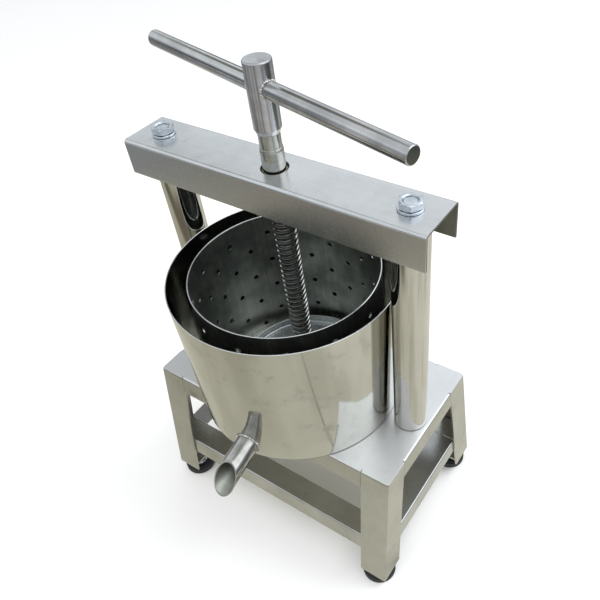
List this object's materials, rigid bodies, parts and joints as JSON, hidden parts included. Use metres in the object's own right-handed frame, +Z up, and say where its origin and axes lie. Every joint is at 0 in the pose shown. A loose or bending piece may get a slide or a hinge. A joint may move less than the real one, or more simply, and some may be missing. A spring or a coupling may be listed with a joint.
{
  "type": "cheese press",
  "caption": "Bench screw press with a loose whey drum and spout, a perforated curd basket and a dished plate on a hand-turned screw under a cross beam.",
  "frame": {"origin": "on the floor under the middle of the press's outer box", "axes": "+Z up along the screw, +X to the right along the cross beam, -Y towards the side of the spout"},
  "size_m": [0.418, 0.3684, 0.7006],
  "materials": {
    "table_sheet": "satin sheet",
    "beam_sheet": "satin sheet",
    "base_sheet": "dull cold-rolled sheet",
    "drum_sheet": "bright polished sheet, hand-smudged",
    "basket_sheet": "brushed sheet, dark from wear",
    "plate_sheet": "satin sheet",
    "post_tube": "mirror polished tube",
    "spout_tube": "polished tube",
    "screw_steel": "turned and polished",
    "turned_steel": "turned",
    "head_steel": "turned satin",
    "bar_steel": "drawn bar, polished along its length",
    "zinc": "bright zinc plate",
    "nut_bronze": "machined bronze",
    "foot_rubber": "moulded black rubber"
  },
  "bodies": {
    "root": {"table_top": "table_sheet", "cross_beam": "beam_sheet", "screw_nut": "nut_bronze", "drum_wall": "drum_sheet", "drum_floor": "basket_sheet", "spout": "spout_tube", "basket_wall": "basket_sheet", "basket_floor": "basket_sheet", "leg_front_left": "base_sheet", "foot_plate_front_left": "base_sheet", "lock_nut_front_left": "zinc", "leg_front_right": "base_sheet", "foot_plate_front_right": "base_sheet", "lock_nut_front_right": "zinc", "leg_back_left": "base_sheet", "foot_plate_back_left": "base_sheet", "lock_nut_back_left": "zinc", "leg_back_right": "base_sheet", "foot_plate_back_right": "base_sheet", "lock_nut_back_right": "zinc", "lower_rail_front": "base_sheet", "lower_rail_back": "base_sheet", "lower_rail_left": "base_sheet", "lower_rail_right": "base_sheet", "post_left": "post_tube", "tie_rod_left": "zinc", "upper_nut_left": "zinc", "upper_washer_left": "zinc", "lower_nut_left": "zinc", "lower_washer_left": "zinc", "post_right": "post_tube", "tie_rod_right": "zinc", "upper_nut_right": "zinc", "upper_washer_right": "zinc", "lower_nut_right": "zinc", "lower_washer_right": "zinc"},
    "press_plate": {"press_plate": "plate_sheet", "plate_hub": "turned_steel", "thrust_pad": "nut_bronze", "retaining_screw_left": "zinc", "retaining_screw_right": "zinc"},
    "screw": {"screw": "screw_steel", "screw_head": "head_steel", "tommy_bar": "bar_steel"},
    "foot_front_left": {"foot_stud_front_left": "zinc", "rubber_foot_front_left": "foot_rubber"},
    "foot_front_right": {"foot_stud_front_right": "zinc", "rubber_foot_front_right": "foot_rubber"},
    "foot_back_left": {"foot_stud_back_left": "zinc", "rubber_foot_back_left": "foot_rubber"},
    "foot_back_right": {"foot_stud_back_right": "zinc", "rubber_foot_back_right": "foot_rubber"}
  },
  "joints": [
    {"name": "plate_travel", "type": "slide", "parent": "root", "child": "press_plate", "axis": [0, 0, 1], "range_m": [0, 0.24]},
    {"name": "screw_turn", "type": "hinge", "parent": "press_plate", "child": "screw", "pos_m": [0, 0.0442, 0.672], "axis": [0, 0, 1], "range_deg": [0, 10800]},
    {"name": "foot_adjust_front_left", "type": "slide", "parent": "root", "child": "foot_front_left", "axis": [0, 0, 1], "range_m": [-0.012, 0]},
    {"name": "foot_adjust_front_right", "type": "slide", "parent": "root", "child": "foot_front_right", "axis": [0, 0, 1], "range_m": [-0.012, 0]},
    {"name": "foot_adjust_back_left", "type": "slide", "parent": "root", "child": "foot_back_left", "axis": [0, 0, 1], "range_m": [-0.012, 0]},
    {"name": "foot_adjust_back_right", "type": "slide", "parent": "root", "child": "foot_back_right", "axis": [0, 0, 1], "range_m": [-0.012, 0]}
  ],
  "couplings": [
    {"joint": "plate_travel", "follows": "screw_turn", "m_per_rad": 0.001273}
  ]
}
